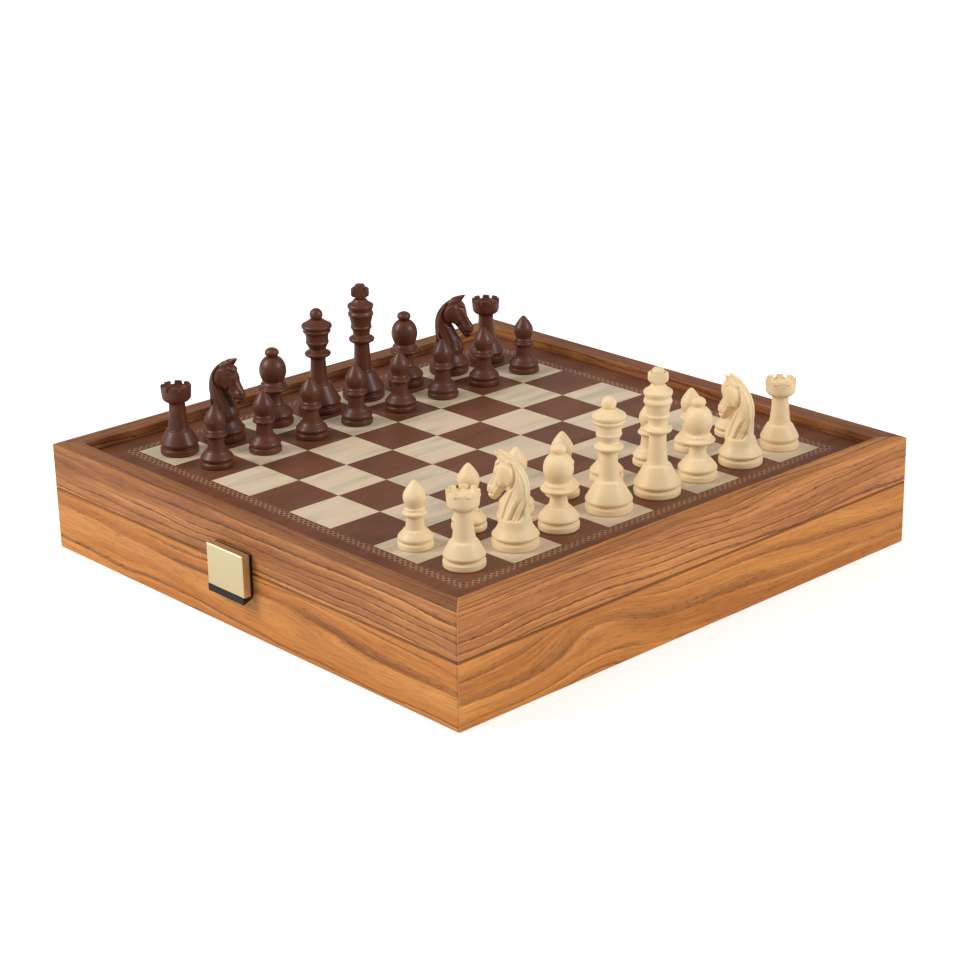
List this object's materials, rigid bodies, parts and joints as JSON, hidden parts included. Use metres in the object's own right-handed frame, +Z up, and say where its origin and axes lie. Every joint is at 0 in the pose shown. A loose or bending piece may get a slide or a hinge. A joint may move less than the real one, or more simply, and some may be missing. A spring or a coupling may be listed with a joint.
{
  "type": "chess box",
  "caption": "Hinged wooden box with a recessed playing board as its lid, a magnetic brass latch, felt-lined storage and a full set of standing chessmen",
  "frame": {"origin": "centre of the underside that the box stands on", "axes": "+Z up; the latch is on the front at -Y and the hinges at the rear at +Y; +X is the side where the light men stand"},
  "size_m": [0.27, 0.2824, 0.1016],
  "materials": {
    "golden_walnut": "satin walnut veneer",
    "red_walnut": "satin walnut veneer, redder and striped",
    "plywood": "plain sanded panel",
    "felt": "short matted pile",
    "border_veneer": "satin dark veneer",
    "ornament_veneer": "satin veneer with a rope pattern",
    "light_veneer": "satin pale veneer",
    "dark_veneer": "satin reddish brown veneer",
    "hinge_brass": "satin brass",
    "plate_brass": "pale satin brass",
    "black_plastic": "matt moulded black",
    "magnet_metal": "dull nickel plating",
    "screw_steel": "zinc-plated steel",
    "ivory_plastic": "satin ivory",
    "chocolate_plastic": "glossy chocolate brown"
  },
  "bodies": {
    "base": {"base_front": "golden_walnut", "base_right": "golden_walnut", "base_rear": "golden_walnut", "base_left": "golden_walnut", "base_bottom": "plywood", "base_lining": "felt", "base_divider": "golden_walnut", "hinge_base_leaves": "hinge_brass", "hinge_pins": "hinge_brass", "hinge_base_screws": "hinge_brass", "latch_keeper": "screw_steel"},
    "lid": {"lid_front": "red_walnut", "lid_right": "red_walnut", "lid_rear": "red_walnut", "lid_left": "red_walnut", "lid_lining": "felt", "board_panel": "plywood", "board_border": "border_veneer", "ornament_band": "ornament_veneer", "light_squares": "light_veneer", "dark_squares": "dark_veneer", "hinge_lid_leaves": "hinge_brass", "hinge_lid_screws": "hinge_brass", "latch_carrier": "black_plastic", "latch_plate": "plate_brass", "latch_magnet": "magnet_metal", "latch_screws": "screw_steel"},
    "light_rook_a_man": {"light_rook_a": "ivory_plastic"},
    "light_knight_b_man": {"light_knight_b": "ivory_plastic"},
    "light_bishop_c_man": {"light_bishop_c": "ivory_plastic"},
    "light_queen_d_man": {"light_queen_d": "ivory_plastic"},
    "light_king_e_man": {"light_king_e": "ivory_plastic"},
    "light_bishop_f_man": {"light_bishop_f": "ivory_plastic"},
    "light_knight_g_man": {"light_knight_g": "ivory_plastic"},
    "light_rook_h_man": {"light_rook_h": "ivory_plastic"},
    "light_pawn_a_man": {"light_pawn_a": "ivory_plastic"},
    "light_pawn_b_man": {"light_pawn_b": "ivory_plastic"},
    "light_pawn_c_man": {"light_pawn_c": "ivory_plastic"},
    "light_pawn_d_man": {"light_pawn_d": "ivory_plastic"},
    "light_pawn_e_man": {"light_pawn_e": "ivory_plastic"},
    "light_pawn_f_man": {"light_pawn_f": "ivory_plastic"},
    "light_pawn_g_man": {"light_pawn_g": "ivory_plastic"},
    "light_pawn_h_man": {"light_pawn_h": "ivory_plastic"},
    "dark_rook_a_man": {"dark_rook_a": "chocolate_plastic"},
    "dark_knight_b_man": {"dark_knight_b": "chocolate_plastic"},
    "dark_bishop_c_man": {"dark_bishop_c": "chocolate_plastic"},
    "dark_queen_d_man": {"dark_queen_d": "chocolate_plastic"},
    "dark_king_e_man": {"dark_king_e": "chocolate_plastic"},
    "dark_bishop_f_man": {"dark_bishop_f": "chocolate_plastic"},
    "dark_knight_g_man": {"dark_knight_g": "chocolate_plastic"},
    "dark_rook_h_man": {"dark_rook_h": "chocolate_plastic"},
    "dark_pawn_a_man": {"dark_pawn_a": "chocolate_plastic"},
    "dark_pawn_b_man": {"dark_pawn_b": "chocolate_plastic"},
    "dark_pawn_c_man": {"dark_pawn_c": "chocolate_plastic"},
    "dark_pawn_d_man": {"dark_pawn_d": "chocolate_plastic"},
    "dark_pawn_e_man": {"dark_pawn_e": "chocolate_plastic"},
    "dark_pawn_f_man": {"dark_pawn_f": "chocolate_plastic"},
    "dark_pawn_g_man": {"dark_pawn_g": "chocolate_plastic"},
    "dark_pawn_h_man": {"dark_pawn_h": "chocolate_plastic"}
  },
  "joints": [
    {"name": "lid_hinge", "type": "hinge", "parent": "base", "child": "lid", "pos_m": [0, 0.1385, 0.029], "axis": [-1, 0, 0], "range_deg": [0, 100]},
    {"name": "light_rook_a_lift", "type": "slide", "parent": "lid", "child": "light_rook_a_man", "axis": [0, 0, 1], "range_m": [0, 0.06]},
    {"name": "light_knight_b_lift", "type": "slide", "parent": "lid", "child": "light_knight_b_man", "axis": [0, 0, 1], "range_m": [0, 0.06]},
    {"name": "light_bishop_c_lift", "type": "slide", "parent": "lid", "child": "light_bishop_c_man", "axis": [0, 0, 1], "range_m": [0, 0.06]},
    {"name": "light_queen_d_lift", "type": "slide", "parent": "lid", "child": "light_queen_d_man", "axis": [0, 0, 1], "range_m": [0, 0.06]},
    {"name": "light_king_e_lift", "type": "slide", "parent": "lid", "child": "light_king_e_man", "axis": [0, 0, 1], "range_m": [0, 0.06]},
    {"name": "light_bishop_f_lift", "type": "slide", "parent": "lid", "child": "light_bishop_f_man", "axis": [0, 0, 1], "range_m": [0, 0.06]},
    {"name": "light_knight_g_lift", "type": "slide", "parent": "lid", "child": "light_knight_g_man", "axis": [0, 0, 1], "range_m": [0, 0.06]},
    {"name": "light_rook_h_lift", "type": "slide", "parent": "lid", "child": "light_rook_h_man", "axis": [0, 0, 1], "range_m": [0, 0.06]},
    {"name": "light_pawn_a_lift", "type": "slide", "parent": "lid", "child": "light_pawn_a_man", "axis": [0, 0, 1], "range_m": [0, 0.06]},
    {"name": "light_pawn_b_lift", "type": "slide", "parent": "lid", "child": "light_pawn_b_man", "axis": [0, 0, 1], "range_m": [0, 0.06]},
    {"name": "light_pawn_c_lift", "type": "slide", "parent": "lid", "child": "light_pawn_c_man", "axis": [0, 0, 1], "range_m": [0, 0.06]},
    {"name": "light_pawn_d_lift", "type": "slide", "parent": "lid", "child": "light_pawn_d_man", "axis": [0, 0, 1], "range_m": [0, 0.06]},
    {"name": "light_pawn_e_lift", "type": "slide", "parent": "lid", "child": "light_pawn_e_man", "axis": [0, 0, 1], "range_m": [0, 0.06]},
    {"name": "light_pawn_f_lift", "type": "slide", "parent": "lid", "child": "light_pawn_f_man", "axis": [0, 0, 1], "range_m": [0, 0.06]},
    {"name": "light_pawn_g_lift", "type": "slide", "parent": "lid", "child": "light_pawn_g_man", "axis": [0, 0, 1], "range_m": [0, 0.06]},
    {"name": "light_pawn_h_lift", "type": "slide", "parent": "lid", "child": "light_pawn_h_man", "axis": [0, 0, 1], "range_m": [0, 0.06]},
    {"name": "dark_rook_a_lift", "type": "slide", "parent": "lid", "child": "dark_rook_a_man", "axis": [0, 0, 1], "range_m": [0, 0.06]},
    {"name": "dark_knight_b_lift", "type": "slide", "parent": "lid", "child": "dark_knight_b_man", "axis": [0, 0, 1], "range_m": [0, 0.06]},
    {"name": "dark_bishop_c_lift", "type": "slide", "parent": "lid", "child": "dark_bishop_c_man", "axis": [0, 0, 1], "range_m": [0, 0.06]},
    {"name": "dark_queen_d_lift", "type": "slide", "parent": "lid", "child": "dark_queen_d_man", "axis": [0, 0, 1], "range_m": [0, 0.06]},
    {"name": "dark_king_e_lift", "type": "slide", "parent": "lid", "child": "dark_king_e_man", "axis": [0, 0, 1], "range_m": [0, 0.06]},
    {"name": "dark_bishop_f_lift", "type": "slide", "parent": "lid", "child": "dark_bishop_f_man", "axis": [0, 0, 1], "range_m": [0, 0.06]},
    {"name": "dark_knight_g_lift", "type": "slide", "parent": "lid", "child": "dark_knight_g_man", "axis": [0, 0, 1], "range_m": [0, 0.06]},
    {"name": "dark_rook_h_lift", "type": "slide", "parent": "lid", "child": "dark_rook_h_man", "axis": [0, 0, 1], "range_m": [0, 0.06]},
    {"name": "dark_pawn_a_lift", "type": "slide", "parent": "lid", "child": "dark_pawn_a_man", "axis": [0, 0, 1], "range_m": [0, 0.06]},
    {"name": "dark_pawn_b_lift", "type": "slide", "parent": "lid", "child": "dark_pawn_b_man", "axis": [0, 0, 1], "range_m": [0, 0.06]},
    {"name": "dark_pawn_c_lift", "type": "slide", "parent": "lid", "child": "dark_pawn_c_man", "axis": [0, 0, 1], "range_m": [0, 0.06]},
    {"name": "dark_pawn_d_lift", "type": "slide", "parent": "lid", "child": "dark_pawn_d_man", "axis": [0, 0, 1], "range_m": [0, 0.06]},
    {"name": "dark_pawn_e_lift", "type": "slide", "parent": "lid", "child": "dark_pawn_e_man", "axis": [0, 0, 1], "range_m": [0, 0.06]},
    {"name": "dark_pawn_f_lift", "type": "slide", "parent": "lid", "child": "dark_pawn_f_man", "axis": [0, 0, 1], "range_m": [0, 0.06]},
    {"name": "dark_pawn_g_lift", "type": "slide", "parent": "lid", "child": "dark_pawn_g_man", "axis": [0, 0, 1], "range_m": [0, 0.06]},
    {"name": "dark_pawn_h_lift", "type": "slide", "parent": "lid", "child": "dark_pawn_h_man", "axis": [0, 0, 1], "range_m": [0, 0.06]}
  ]
}
